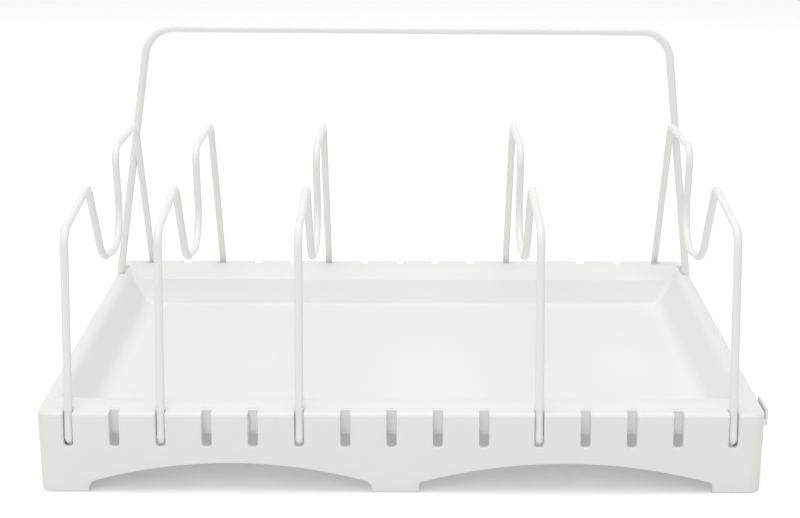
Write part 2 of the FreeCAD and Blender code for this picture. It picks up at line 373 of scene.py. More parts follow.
@dataclass
class BentWire:
    """A round wire bent from straight runs and round bends, with rounded ends.

    Attributes:
        name: Name of the piece.
        diameter: Diameter over the coating.
        sides: Number of sides round the wire.
        bend_step: Largest turn of one step of a bend, in radians.
    """

    name: str
    diameter: float
    sides: int = 28
    bend_step: float = math.radians(7)

    def shape(self, corners: list[Vector], radii: list[float]) -> bpy.types.Object:
        """Bend the wire along a route.

        Args:
            corners: Ends of the route and the points where its straight runs would meet.
            radii: Radius of the bend at each inner point.

        Returns:
            The wire as one closed mesh.
        """
        heading = (corners[1] - corners[0]).normalized()
        tip = heading * self.diameter / 2
        place = corners[0] + tip
        turn = heading.to_track_quat("Z", "Y").to_euler()
        bpy.ops.mesh.primitive_circle_add(vertices=self.sides, radius=self.diameter / 2,
                                          location=place, rotation=turn)
        wire = bpy.context.active_object
        wire.name = self.name
        wire.data.name = self.name
        apply_place(wire)
        bpy.ops.object.mode_set(mode="EDIT")
        bpy.ops.mesh.select_all(action="SELECT")
        first_heading = heading
        here = place
        for corner, following, radius in zip(corners[1:-1], corners[2:], radii):
            onward = (following - corner).normalized()
            angle = heading.angle(onward)
            reach = radius * math.tan(angle / 2)
            bend_start = corner - heading * reach
            self.run(bend_start - here)
            axis = heading.cross(onward).normalized()
            self.bend(bend_start + axis.cross(heading) * radius, axis, angle)
            here = corner + onward * reach
            heading = onward
        last_place = corners[-1] - heading * self.diameter / 2
        self.run(last_place - here)
        self.round_end(last_place, heading)
        self.select_ring(wire, place, first_heading)
        self.round_end(place, -first_heading)
        bpy.ops.mesh.select_all(action="SELECT")
        bpy.ops.mesh.remove_doubles(threshold=NEAR)
        bpy.ops.mesh.normals_make_consistent(inside=False)
        bpy.ops.object.mode_set(mode="OBJECT")
        bpy.ops.object.shade_smooth()
        return wire

    def run(self, step: Vector) -> None:
        """Draw the selected end straight on by a step."""
        bpy.ops.mesh.extrude_region_move(TRANSFORM_OT_translate={"value": step})

    def bend(self, centre: Vector, axis: Vector, angle: float) -> None:
        """Turn the selected end round a bend.

        Args:
            centre: Centre of the bend.
            axis: Axis of the bend, by the right-hand rule.
            angle: Turn in radians.
        """
        steps = max(2, math.ceil(angle / self.bend_step))
        bpy.ops.mesh.spin(steps=steps, angle=-angle, center=centre, axis=axis)

    def round_end(self, centre: Vector, heading: Vector) -> None:
        """Close the selected end with a dome.

        Args:
            centre: Centre of the last full section.
            heading: Direction in which the wire ends.
        """
        radius = self.diameter / 2
        dome_angles = (0.0, 22.5, 45.0, 67.5)
        for before, after in zip(dome_angles[:-1], dome_angles[1:]):
            low, high = math.radians(before), math.radians(after)
            step = heading * radius * (math.sin(high) - math.sin(low))
            self.run(step)
            shrink = math.cos(high) / math.cos(low)
            middle = centre + heading * radius * math.sin(high)
            bpy.ops.transform.resize(value=(shrink, shrink, shrink), center_override=middle)
        last = math.radians(dome_angles[-1])
        self.run(heading * radius * (1 - math.sin(last)))
        bpy.ops.mesh.merge(type="CENTER")

    def select_ring(self, wire: bpy.types.Object, centre: Vector, heading: Vector) -> None:
        """Select the open section at one place.

        Args:
            wire: Wire in edit mode.
            centre: Centre of the section.
            heading: Direction of the wire there.
        """
        bpy.ops.object.mode_set(mode="OBJECT")
        clear_selection(wire.data)
        for vertex in wire.data.vertices:
            arm = vertex.co - centre
            vertex.select = abs(arm.dot(heading)) < NEAR and arm.length < self.diameter
        bpy.ops.object.mode_set(mode="EDIT")
        bpy.ops.mesh.select_mode(type="VERT")


@dataclass(frozen=True)
class Corner:
    """Corner of a section line, with its round.

    Attributes:
        inset: Distance inwards from the tray's side.
        height: Height above the ground.
        radius: Radius of the round, or 0.
    """

    inset: float
    height: float
    radius: float = 0.0


@dataclass(frozen=True)
class SectionLine:
    """A line that only rises or only falls, through corners that may be rounded.

    Attributes:
        corners: Corners in order.
        steps: Number of steps in each round.
    """

    corners: tuple[Corner, ...]
    steps: int = 7

    def points(self) -> list[Vector]:
        """List the points of the line.

        Returns:
            The points, each as inset and height.
        """
        places = [Vector((corner.inset, corner.height)) for corner in self.corners]
        line = [places[0]]
        for index in range(1, len(places) - 1):
            here, radius = places[index], self.corners[index].radius
            if radius == 0:
                line.append(here)
                continue
            before = (places[index - 1] - here).normalized()
            after = (places[index + 1] - here).normalized()
            half_opening = before.angle(after) / 2
            reach = radius / math.tan(half_opening)
            centre = here + (before + after).normalized() * radius / math.sin(half_opening)
            first = here + before * reach - centre
            last = here + after * reach - centre
            for step in range(self.steps + 1):
                line.append(centre + first.lerp(last, step / self.steps).normalized() * radius)
        line.append(places[-1])
        return line

    def inset_at(self, height: float) -> float:
        """Find the inset of the line at a height.

        Args:
            height: Height above the ground.

        Returns:
            The inset there, or at the nearer end of the line.
        """
        line = self.points()
        for start, end in zip(line, line[1:]):
            low, high = sorted((start.y, end.y))
            if low <= height <= high and high > low:
                share = (height - start.y) / (end.y - start.y)
                return start.x + (end.x - start.x) * share
        nearer = min((line[0], line[-1]), key=lambda point: abs(point.y - height))
        return nearer.x


@dataclass(frozen=True)
class Outline:
    """A level rectangle with rounded corners.

    Attributes:
        half_x: Half its width.
        half_y: Half its depth.
        corner: Radius of its corners.
        height: Height of its level.
        corner_steps: Number of steps round a corner.
    """

    half_x: float
    half_y: float
    corner: float
    height: float
    corner_steps: int = 8

    def draw(self, group: str) -> bpy.types.Object:
        """Draw the outline as a loop of edges.

        Args:
            group: Name of the group that holds its points.

        Returns:
            The loop.
        """
        bpy.ops.mesh.primitive_plane_add(size=2, location=(0, 0, self.height))
        loop = bpy.context.active_object
        loop.scale = (self.half_x, self.half_y, 1)
        apply_place(loop)
        bpy.ops.object.mode_set(mode="EDIT")
        bpy.ops.mesh.select_all(action="SELECT")
        bpy.ops.mesh.bevel(offset=self.corner, segments=self.corner_steps, affect="VERTICES")
        bpy.ops.mesh.select_all(action="SELECT")
        bpy.ops.mesh.delete(type="ONLY_FACE")
        bpy.ops.object.mode_set(mode="OBJECT")
        points = loop.vertex_groups.new(name=group)
        points.add(list(range(len(loop.data.vertices))), 1.0, "REPLACE")
        return loop


@dataclass
class MouldedTray:
    """The tray: a thin shell with a crowned rim, a sunken well, slots, side recesses, arches and a lug.

    Attributes:
        node: Node that it stands in for.
        rail_node: Node of the rail that stands in its recesses.
        wall: Thickness of the shell.
        draft: How far the outer face leans in at the ground.
        face_height: Height of the outer face.
        crest_rise: Rise of the crest over the outer face.
        crest_side: Inset of the crest at the sides.
        crest_end: Inset of the crest at the front and back.
        top_round: Radius of the edge round the top of the outer face.
        ground_round: Radius of the edge round the bottom of the outer face.
        plan_corner: Radius of the outer corners.
        well_corner: Radius of the well's corners.
        floor_height: Height of the well's floor.
        side_brink: Inset of the brink at the sides, and its drop below the crest.
        side_brink_round: Radius of that brink.
        side_slope: Run of the side walls for each unit of their drop.
        side_foot_round: Radius where they meet the floor.
        shelf_brow: Inset of the point where the ends begin to fall, and its drop below the crest.
        shelf_brow_round: Radius there.
        shelf_edge: Inset of the brink at the ends, and its drop below the crest.
        shelf_edge_round: Radius of that brink.
        end_wall_run: Run of the end walls from the brink to the floor.
        end_foot_round: Radius where they meet the floor.
        slot_count: Number of slots in each row.
        front_end_space: From the tray's side to the first and last slot of the front row.
        front_extra: By how much some gaps of the front row are wider.
        front_extra_after: Slots of the front row after which the gap is wider.
        back_end_space: From the tray's side to the first and last slot of the back row.
        back_extra: By how much some gaps of the back row are wider.
        back_extra_after: Slots of the back row after which the gap is wider.
        slot_width: Width of a slot.
        slot_depth: Depth of a slot behind the outer face.
        slot_bottom: Height of the slots' lower ends.
        slot_round: Radius of their lower corners.
        slot_flare: By how much a slot's mouth is wider on each side.
        sill_flare: By how much it reaches lower.
        flare_depth: Depth of the flare.
        front_easing: How far the rim is eased beside, behind and down at the top of a front slot.
        back_easing: The same at the top of a back slot.
        pocket_wall: Thickness of the walls behind slots and recesses.
        pocket_bottom: Height of the slot pockets' lower ends.
        corner_foot: Length of the feet at the corners.
        middle_foot: Length of the feet in the middle.
        middle_foot_shift: How far the middle feet stand to the right.
        arch_spring: Height at which an arch's curve would reach its ends.
        arch_rise: Rise of that curve.
        arch_end_round: Radius of the arches' upper corners.
        arch_facets: Facets of the whole circle that an arch is part of.
        rail_wire: Diameter of the rail that stands in the recesses.
        recess_gap: From the rail to the inner wall of a recess.
        recess_clear: From the rail to the recess's front wall and floor.
        recess_length: Length of a recess.
        recess_round: Radius of its lower corners.
        lug_proud: How far the lug stands out.
        lug_length: Length of the lug.
        lug_from_front: From the tray's front to the lug.
        lug_bottom: Height of the lug's lower face.
        lug_rise: How far the lug rises over the outer face.
        lug_slit: Width of the slit between the lug and the rim.
        lug_slit_bottom: Height of the slit's lower end.
        lug_round: Radius of the lug's outer edges.
        sharp_angle_deg: Turn at an edge from which it is shaded sharp.
        beyond: How far a cutter reaches past what it cuts.
        half_width: Half the tray's width, from the frame.
        half_depth: Half the tray's depth, from the frame.
    """

    node: str = "tray"
    rail_node: str = "tall_rail"
    wall: float = 2.2 * MM
    draft: float = 0.5 * MM
    face_height: float = 38.4 * MM
    crest_rise: float = 0.9 * MM
    crest_side: float = 4.5 * MM
    crest_end: float = 13.0 * MM
    top_round: float = 1.8 * MM
    ground_round: float = 1.2 * MM
    plan_corner: float = 6.0 * MM
    well_corner: float = 3.0 * MM
    floor_height: float = 22.0 * MM
    side_brink: tuple[float, float] = (7.3 * MM, 0.25 * MM)
    side_brink_round: float = 5.5 * MM
    side_slope: float = 0.66
    side_foot_round: float = 9.0 * MM
    shelf_brow: tuple[float, float] = (19.0 * MM, 0.6 * MM)
    shelf_brow_round: float = 28.0 * MM
    shelf_edge: tuple[float, float] = (30.0 * MM, 4.2 * MM)
    shelf_edge_round: float = 0.7 * MM
    end_wall_run: float = 5.3 * MM
    end_foot_round: float = 0.7 * MM
    slot_count: int = 15
    front_end_space: float = 14.5 * MM
    front_extra: float = 4.0 * MM
    front_extra_after: tuple[int, ...] = (9, 13)
    back_end_space: float = 16.75 * MM
    back_extra: float = 1.05 * MM
    back_extra_after: tuple[int, ...] = (10, 11, 12, 13)
    slot_width: float = 4.2 * MM
    slot_depth: float = 5.93 * MM
    slot_bottom: float = 22.35 * MM
    slot_round: float = 1.5 * MM
    slot_flare: float = 0.35 * MM
    sill_flare: float = 0.8 * MM
    flare_depth: float = 0.7 * MM
    front_easing: tuple[float, float, float] = (0.7 * MM, 0.7 * MM, 0.7 * MM)
    back_easing: tuple[float, float, float] = (1.2 * MM, 3.0 * MM, 1.8 * MM)
    pocket_wall: float = 1.5 * MM
    pocket_bottom: float = 26.6 * MM
    corner_foot: float = 23.1 * MM
    middle_foot: float = 21.5 * MM
    middle_foot_shift: float = -2.3 * MM
    arch_spring: float = 5.8 * MM
    arch_rise: float = 8.7 * MM
    arch_end_round: float = 2.8 * MM
    arch_facets: int = 360
    rail_wire: float = 4.3 * MM
    recess_gap: float = 0.55 * MM
    recess_clear: float = 0.25 * MM
    recess_length: float = 18.4 * MM
    recess_round: float = 2.0 * MM
    lug_proud: float = 1.9 * MM
    lug_length: float = 18.0 * MM
    lug_from_front: float = 6.5 * MM
    lug_bottom: float = 31.0 * MM
    lug_rise: float = 0.6 * MM
    lug_slit: float = 0.5 * MM
    lug_slit_bottom: float = 34.0 * MM
    lug_round: float = 0.7 * MM
    sharp_angle_deg: float = 32.0
    beyond: float = 2.0 * MM
    half_width: float = field(init=False)
    half_depth: float = field(init=False)

    def __post_init__(self) -> None:
        """Take the tray's half width and half depth from its node."""
        low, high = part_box(self.node)
        self.half_width = -low.x
        self.half_depth = high.y

    def build(self, finish: bpy.types.Material) -> None:
        """Mould the tray where its node is.

        Args:
            finish: Finish of the plastic.
        """
        tray = self.shell()
        combine(tray, self.in_row(self.slot_pocket(), True), BooleanKind.ADD)
        combine(tray, self.in_row(self.slot_pocket(), False), BooleanKind.ADD)
        combine(tray, self.both_sides(self.recess_walls), BooleanKind.ADD)
        combine(tray, self.lug(), BooleanKind.ADD)
        combine(tray, self.in_row(self.slot_cutter(self.front_easing), True), BooleanKind.CUT)
        combine(tray, self.in_row(self.slot_cutter(self.back_easing), False), BooleanKind.CUT)
        combine(tray, self.both_sides(self.recess_cutter), BooleanKind.CUT)
        combine(tray, self.arch_cutters(), BooleanKind.CUT)
        self.finish_edges(tray)
        tray.name = "moulded_tray"
        tray.data.name = "moulded_tray"
        tray.data.materials.clear()
        tray.data.materials.append(finish)
        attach(tray, "root")
        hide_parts(self.node)
        log.info("%s stands in for %s", tray.name, self.node)

    def crest_height(self) -> float:
        """Return the height of the crest."""
        return self.face_height + self.crest_rise

    def rise_lines(self) -> tuple[SectionLine, SectionLine]:
        """Draw the outer face up to the crest.

        Returns:
            The lines at the sides and at the ends.
        """
        # A round as wide as the foot line would leave no straight step at its start
        share_of_foot = 0.98
        lines = []
        for crest in (self.crest_side, self.crest_end):
            lines.append(SectionLine((
                Corner(self.draft + self.ground_round, 0),
                Corner(self.draft, 0, self.ground_round * share_of_foot),
                Corner(0, self.face_height, self.top_round),
                Corner(crest, self.crest_height()),
            )))
        return lines[0], lines[1]

    def fall_lines(self) -> tuple[SectionLine, SectionLine]:
        """Draw the way from the crest down to the floor.

        Returns:
            The lines at the sides and at the ends.
        """
        crest = self.crest_height()
        brink_inset, brink_drop = self.side_brink
        brink_height = crest - brink_drop
        foot = brink_inset + (brink_height - self.floor_height) * self.side_slope
        half_turn = math.atan(1 / self.side_slope) / 2
        side = SectionLine((
            Corner(self.crest_side, crest),
            Corner(brink_inset, brink_height, self.side_brink_round),
            Corner(foot, self.floor_height, self.side_foot_round),
            Corner(foot + self.side_foot_round * math.tan(half_turn), self.floor_height),
        ), steps=9)
        brow_inset, brow_drop = self.shelf_brow
        edge_inset, edge_drop = self.shelf_edge
        end_foot = edge_inset + self.end_wall_run
        end = SectionLine((
            Corner(self.crest_end, crest),
            Corner(brow_inset, crest - brow_drop, self.shelf_brow_round),
            Corner(edge_inset, crest - edge_drop, self.shelf_edge_round),
            Corner(end_foot, self.floor_height, self.end_foot_round),
            Corner(end_foot + self.end_foot_round, self.floor_height),
        ), steps=6)
        return side, end

    def levels(self, lines: tuple[SectionLine, SectionLine], falling: bool) -> list[float]:
        """List the heights at which either line bends, a little apart from each other.

        Args:
            lines: Lines at the sides and at the ends.
            falling: Whether the lines fall.

        Returns:
            The heights in the order of the lines.
        """
        least_step = 0.06 * MM
        heights = sorted(point.y for line in lines for point in line.points())
        kept = [heights[0]]
        for height in heights[1:-1]:
            if height - kept[-1] > least_step and heights[-1] - height > least_step:
                kept.append(height)
        kept.append(heights[-1])
        return kept[::-1] if falling else kept

    def outlines(self) -> list[Outline]:
        """List the outlines from the underside of the floor, round the skirt and rim, to the floor.

        Returns:
            The outlines in the order in which they are bridged.
        """
        rise, fall = self.rise_lines(), self.fall_lines()
        outer = []
        for lines, falling in ((rise, False), (fall, True)):
            corner = self.well_corner if falling else self.plan_corner
            for height in self.levels(lines, falling)[1 if falling else 0:]:
                side, end = (line.inset_at(height) for line in lines)
                outer.append(Outline(self.half_width - side, self.half_depth - end, corner, height))
        under = []
        crest = self.crest_height()
        shelf = crest - self.shelf_edge[1]
        for height in (self.floor_height, (self.floor_height + shelf) / 2, shelf,
                       crest - self.shelf_brow[1], crest):
            side, end = (line.inset_at(height) - self.wall for line in fall)
            under.append(Outline(self.half_width - side, self.half_depth - end, self.well_corner + self.wall,
                                 height - self.wall))
        inner_corner = self.plan_corner - self.wall
        under.append(Outline(self.half_width - self.wall, self.half_depth - self.wall, inner_corner,
                             self.face_height - self.wall))
        foot_inset = self.wall + self.draft
        under.append(Outline(self.half_width - foot_inset, self.half_depth - foot_inset, inner_corner, 0))
        return under + outer

    def shell(self) -> bpy.types.Object:
        """Bridge the outlines in order into one closed shell, and fill the floor on both faces.

        Returns:
            The shell.
        """
        outlines = self.outlines()
        groups = ["outline_%02d" % number for number in range(len(outlines))]
        loops = [outline.draw(group) for outline, group in zip(outlines, groups)]
        tray = join_all(loops, self.node)
        apply_place(tray)
        bpy.ops.object.mode_set(mode="EDIT")
        bpy.ops.mesh.select_mode(type="VERT")
        for first, second in zip(groups, groups[1:]):
            self.select_groups((first, second))
            bpy.ops.mesh.bridge_edge_loops()
        for end_group in (groups[0], groups[-1]):
            self.select_groups((end_group,))
            bpy.ops.mesh.edge_face_add()
        bpy.ops.mesh.select_all(action="SELECT")
        bpy.ops.mesh.normals_make_consistent(inside=False)
        bpy.ops.object.mode_set(mode="OBJECT")
        tray.vertex_groups.clear()
        return tray

    def select_groups(self, groups: tuple[str, ...]) -> None:
        """Select the points of some groups and nothing else, in edit mode.

        Args:
            groups: Names of the groups.
        """
        bpy.ops.mesh.select_all(action="DESELECT")
        for group in groups:
            bpy.ops.object.vertex_group_set_active(group=group)
            bpy.ops.object.vertex_group_select()

    def row(self, end_space: float, extra: float, extra_after: tuple[int, ...]) -> list[float]:
        """List the slot centres of one row.

        Args:
            end_space: From the tray's side to the first and last slot.
            extra: By how much some gaps are wider.
            extra_after: Slots after which the gap is wider.

        Returns:
            The centres along X, from the left.
        """
        gap_count = self.slot_count - 1
        pitch = (2 * self.half_width - 2 * end_space - extra * len(extra_after)) / gap_count
        places = [-self.half_width + end_space]
        for index in range(gap_count):
            places.append(places[-1] + pitch + (extra if index in extra_after else 0))
        return places

    def in_row(self, model: bpy.types.Object, front: bool) -> bpy.types.Object:
        """Copy a shape to every slot of a row, turned round in the back row, and join the copies.

        Args:
            model: Shape for a front slot at X 0, which is removed.
            front: Whether it is the front row.

        Returns:
            The joined shape.
        """
        if front:
            places = self.row(self.front_end_space, self.front_extra, self.front_extra_after)
        else:
            places = self.row(self.back_end_space, self.back_extra, self.back_extra_after)
        copies = []
        for place in places:
            twin = copy_of(model, "slot_row")
            twin.rotation_euler = (0, 0, 0 if front else math.pi)
            twin.location = (place, 0, 0)
            apply_place(twin)
            copies.append(twin)
        bpy.data.objects.remove(model)
        return join_all(copies, "slot_row")

    def both_sides(self, make: Callable[[int], bpy.types.Object]) -> bpy.types.Object:
        """Make a shape for the right-hand side and one for the left-hand side, and join them.

        Args:
            make: Maker of the shape, for 1 at the right-hand side and -1 at the left-hand one.

        Returns:
            The joined shape.
        """
        return join_all([make(1), make(-1)], "both_sides")

    def slot_pocket(self) -> bpy.types.Object:
        """Make the walls behind a slot.

        Returns:
            The walls as a solid block, at X 0 in the front row.
        """
        half = self.slot_width / 2 + self.pocket_wall
        front = -self.half_depth
        return block((-half, front + self.draft, self.pocket_bottom),
                     (half, front + self.slot_depth + self.pocket_wall, self.face_height - self.wall / 2))

    def slot_cutter(self, easing: tuple[float, float, float]) -> bpy.types.Object:
        """Make the cutter of a slot, with rounded corners, a flared mouth and a widening top.

        Args:
            easing: How far the rim is eased beside, behind and down.

        Returns:
            The cutter, at X 0 in the front row.
        """
        half = self.slot_width / 2
        front = -self.half_depth
        mouth = front + self.flare_depth
        rear = front + self.slot_depth
        rear_share = self.slot_depth / 2 / self.crest_end
        rim = self.face_height + self.crest_rise * rear_share
        _, _, down = easing
        neck = rim - down
        cutter = block((-half, mouth, self.slot_bottom), (half, rear, neck))
        round_edges(cutter, lambda a, b: max(a.z, b.z) < self.slot_bottom + NEAR and abs(a.x - b.x) < NEAR,
                    self.slot_round)
        edit_faces(cutter, Vector((0, -1, 0)))
        height = neck - self.slot_bottom
        flare = (1 + self.slot_flare / half, 1, 1 + self.sill_flare / height)
        bpy.ops.mesh.extrude_region_move(TRANSFORM_OT_translate={"value": (0, -self.flare_depth, 0)})
        bpy.ops.transform.resize(value=flare, center_override=(0, front, neck))
        bpy.ops.mesh.extrude_region_move(TRANSFORM_OT_translate={"value": (0, -self.beyond, 0)})
        leave_edit()
        self.widen_top(cutter, neck, easing)
        return cutter

    def widen_top(self, cutter: bpy.types.Object, neck: float, easing: tuple[float, float, float]) -> None:
        """Widen the top of a slot's cutter in a quarter round, and raise it past the rim.

        Args:
            cutter: Cutter that ends at its neck.
            neck: Height of its neck.
            easing: How far it widens to each side, to the rear and up.
        """
        steps = 5
        half = self.slot_width / 2
        middle = Vector((0, 0, neck))
        beside, behind, down = easing
        edit_faces(cutter, Vector((0, 0, 1)))
        wider = 0.0
        higher = 0.0
        for step in range(1, steps + 1):
            angle = math.pi / 2 * step / steps
            next_wider = 1 - math.cos(angle)
            next_higher = math.sin(angle)
            rise = (0, 0, down * (next_higher - higher))
            bpy.ops.mesh.extrude_region_move(TRANSFORM_OT_translate={"value": rise})
            spread = (half + beside * next_wider) / (half + beside * wider)
            bpy.ops.transform.resize(value=(spread, 1, 1), center_override=middle)
            bpy.ops.transform.translate(value=(0, behind * (next_wider - wider), 0))
            wider, higher = next_wider, next_higher
        bpy.ops.mesh.extrude_region_move(TRANSFORM_OT_translate={"value": (0, 0, self.beyond)})
        leave_edit()

    def recess_corners(self, side: int, grow: float, outer: float, top: float) -> tuple[Vector, Vector]:
        """Find the lowest and highest corner of a side recess.

        Args:
            side: 1 for the right-hand side and -1 for the left-hand one.
            grow: How far the recess is grown inwards, to the front and back, and down.
            outer: Distance of its outer end from the middle of the tray.
            top: Height of its upper end.

        Returns:
            The two corners.
        """
        low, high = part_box(self.rail_node)
        inner = high.x - self.rail_wire - self.recess_gap - grow
        front = low.y - self.recess_clear - grow
        back = low.y - self.recess_clear + self.recess_length + grow
        bottom = low.z - self.recess_clear - grow
        near, far = sorted((side * inner, side * outer))
        return Vector((near, front, bottom)), Vector((far, back, top))

    def recess_walls(self, side: int) -> bpy.types.Object:
        """Make the walls round one side recess.

        Args:
            side: 1 for the right-hand side and -1 for the left-hand one.

        Returns:
            The walls as a solid block.
        """
        return block(*self.recess_corners(side, self.pocket_wall, self.half_width - self.draft,
                                          self.face_height - self.wall / 2))

    def recess_cutter(self, side: int) -> bpy.types.Object:
        """Make the cutter of one side recess, with rounded lower corners.

        Args:
            side: 1 for the right-hand side and -1 for the left-hand one.

        Returns:
            The cutter.
        """
        low, high = self.recess_corners(side, 0, self.half_width + self.beyond,
                                        self.crest_height() + self.beyond)
        cutter = block(low, high)
        round_edges(cutter, lambda a, b: max(a.z, b.z) < low.z + NEAR and abs(a.y - b.y) < NEAR,
                    self.recess_round)
        return cutter

    def lug(self) -> bpy.types.Object:
        """Make the raised lug on the right-hand skirt, with rounded outer edges and a slit behind it.

        Returns:
            The lug.
        """
        outer = self.half_width + self.lug_proud
        inner = self.half_width - self.wall / 2
        front = -self.half_depth + self.lug_from_front
        back = front + self.lug_length
        lug = block((inner, front, self.lug_bottom), (outer, back, self.face_height + self.lug_rise))
        round_edges(lug, lambda a, b: min(a.x, b.x) > outer - NEAR, self.lug_round)
        slit = block((inner - self.beyond, front - self.beyond, self.lug_slit_bottom),
                     (self.half_width + self.lug_slit, back + self.beyond, self.face_height + self.beyond))
        combine(lug, slit, BooleanKind.CUT)
        return lug

    def arch_cutters(self) -> bpy.types.Object:
        """Make the cutters of the two arches through both skirts.

        Returns:
            The joined cutters.
        """
        foot_edge = self.half_width - self.corner_foot
        middle_left = self.middle_foot_shift - self.middle_foot / 2
        middle_right = self.middle_foot_shift + self.middle_foot / 2
        arches = [self.arch_cutter(-foot_edge, middle_left), self.arch_cutter(middle_right, foot_edge)]
        return join_all(arches, "arch_cutters")

    def arch_cutter(self, left: float, right: float) -> bpy.types.Object:
        """Make the cutter of one arch.

        Args:
            left: Its left end.
            right: Its right end.

        Returns:
            The cutter.
        """
        half_span = (right - left) / 2 - self.arch_end_round
        radius = (half_span ** 2 + self.arch_rise ** 2) / (2 * self.arch_rise)
        crown = self.arch_spring + self.arch_rise
        bpy.ops.mesh.primitive_cylinder_add(vertices=self.arch_facets, radius=radius,
                                            depth=2 * (self.half_depth + self.beyond),
                                            location=((left + right) / 2, 0, crown - radius),
                                            rotation=(math.pi / 2, 0, 0))
        cutter = bpy.context.active_object
        apply_place(cutter)
        bpy.ops.object.mode_set(mode="EDIT")
        for place, facing in (((left, 0, 0), (-1, 0, 0)), ((right, 0, 0), (1, 0, 0)),
                              ((0, 0, -self.beyond), (0, 0, -1))):
            bpy.ops.mesh.select_all(action="SELECT")
            bpy.ops.mesh.bisect(plane_co=place, plane_no=facing, use_fill=True, clear_outer=True)
        bpy.ops.object.mode_set(mode="OBJECT")
        round_edges(cutter, lambda a, b: (abs(a.y - b.y) > self.half_depth and min(a.z, b.z) > 0
                                          and min(abs(a.x - left), abs(a.x - right)) < NEAR),
                    self.arch_end_round)
        return cutter

    def finish_edges(self, tray: bpy.types.Object) -> None:
        """Merge the moulding's doubled points and shade its flats and rounds evenly, keeping its sharp edges
        sharp.

        Args:
            tray: Tray with all its cuts.
        """
        select_only(tray)
        bpy.ops.object.mode_set(mode="EDIT")
        bpy.ops.mesh.select_all(action="SELECT")
        bpy.ops.mesh.remove_doubles(threshold=NEAR)
        bpy.ops.object.mode_set(mode="OBJECT")
        bpy.ops.object.shade_smooth_by_angle(angle=math.radians(self.sharp_angle_deg))
        weights = tray.modifiers.new("even_shading", "WEIGHTED_NORMAL")
        weights.keep_sharp = True
        apply_modifiers(tray)


@dataclass
class LidDividers:
    """The five dividers, bent alike and hooked into their slots.

    Attributes:
        wire: Wire that they are bent from.
        node_stem: Start of the names of their nodes.
        count: Number of dividers.
        node_wire: Diameter of the wire in the nodes.
        foot_inset: From the tray's face to the middle of a leg.
        hook_height: Height of the hooks.
        hook_length: Length of the hooks, to their ends.
        front_lean: How far the front leg leans back for its rise.
        front_shoulder: Height of the corner where the front leg turns in.
        rim_height: Height at which the back leg begins to lean.
        front_peak: Distance of the front peak from the tray's front, and its height.
        valley_front: The same for the front corner of the valley.
        valley_back: The same for the back corner of the valley.
        back_shoulder: The same for the corner over the back of the valley.
        back_peak: The same for the back peak.
        bends: Radii of the bends in millimetres, from the front hook to the back one.
    """

    wire: BentWire
    node_stem: str = "lid_divider_"
    count: int = 5
    node_wire: float = 3.6 * MM
    foot_inset: float = 1.95 * MM
    hook_height: float = 24.45 * MM
    hook_length: float = 10.0 * MM
    front_lean: float = 0.13
    front_shoulder: float = 119.8 * MM
    rim_height: float = 39.3 * MM
    front_peak: tuple[float, float] = (73.5 * MM, 126.7 * MM)
    valley_front: tuple[float, float] = (102.5 * MM, 82.8 * MM)
    valley_back: tuple[float, float] = (159.0 * MM, 75.6 * MM)
    back_shoulder: tuple[float, float] = (149.0 * MM, 129.5 * MM)
    back_peak: tuple[float, float] = (216.8 * MM, 128.6 * MM)
    bends: tuple[float, ...] = (2.4, 9.0, 9.0, 24.0, 19.0, 9.0, 10.0, 12.0, 2.4)

    def build(self, tray_depth: float, finish: bpy.types.Material) -> None:
        """Bend one divider and stand a copy of it in each pair of slots.

        Args:
            tray_depth: Depth of the tray.
            finish: Finish of the wire.
        """
        model = self.bend_one(tray_depth)
        model.data.materials.append(finish)
        for number in range(1, self.count + 1):
            node = self.node_stem + str(number)
            divider = copy_of(model, "divider_wire_%d" % number)
            self.stand(divider, node, tray_depth)
            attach(divider, "root")
            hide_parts(node)
            log.info("%s stands in for %s", divider.name, node)
        bpy.data.objects.remove(model)

    def bend_one(self, tray_depth: float) -> bpy.types.Object:
        """Bend one divider with its front leg over the origin.

        Args:
            tray_depth: Depth of the tray.

        Returns:
            The divider, in the plane X 0.
        """
        front = self.foot_inset
        back = tray_depth - self.foot_inset
        shoulder = front + (self.front_shoulder - self.hook_height) * self.front_lean
        route = [
            (front + self.hook_length, self.hook_height),
            (front, self.hook_height),
            (shoulder, self.front_shoulder),
            self.front_peak,
            self.valley_front,
            self.valley_back,
            self.back_shoulder,
            self.back_peak,
            (back, self.rim_height),
            (back, self.hook_height),
            (back - self.hook_length, self.hook_height),
        ]
        corners = [Vector((0, y - front, z)) for y, z in route]
        return self.wire.shape(corners, [bend * MM for bend in self.bends])

    def stand(self, divider: bpy.types.Object, node: str, tray_depth: float) -> None:
        """Turn and move a divider to the place that its node has.

        Args:
            divider: Divider over the origin.
            node: Node that it stands in for.
            tray_depth: Depth of the tray.
        """
        low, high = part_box(node)
        half_wire = self.node_wire / 2
        back_x, front_x = sorted((low.x + half_wire, high.x - half_wire), key=abs)
        span = tray_depth - 2 * self.foot_inset
        divider.rotation_euler = (0, 0, -math.atan2(back_x - front_x, span))
        divider.location = (front_x, self.foot_inset - tray_depth / 2, 0)
        apply_place(divider)


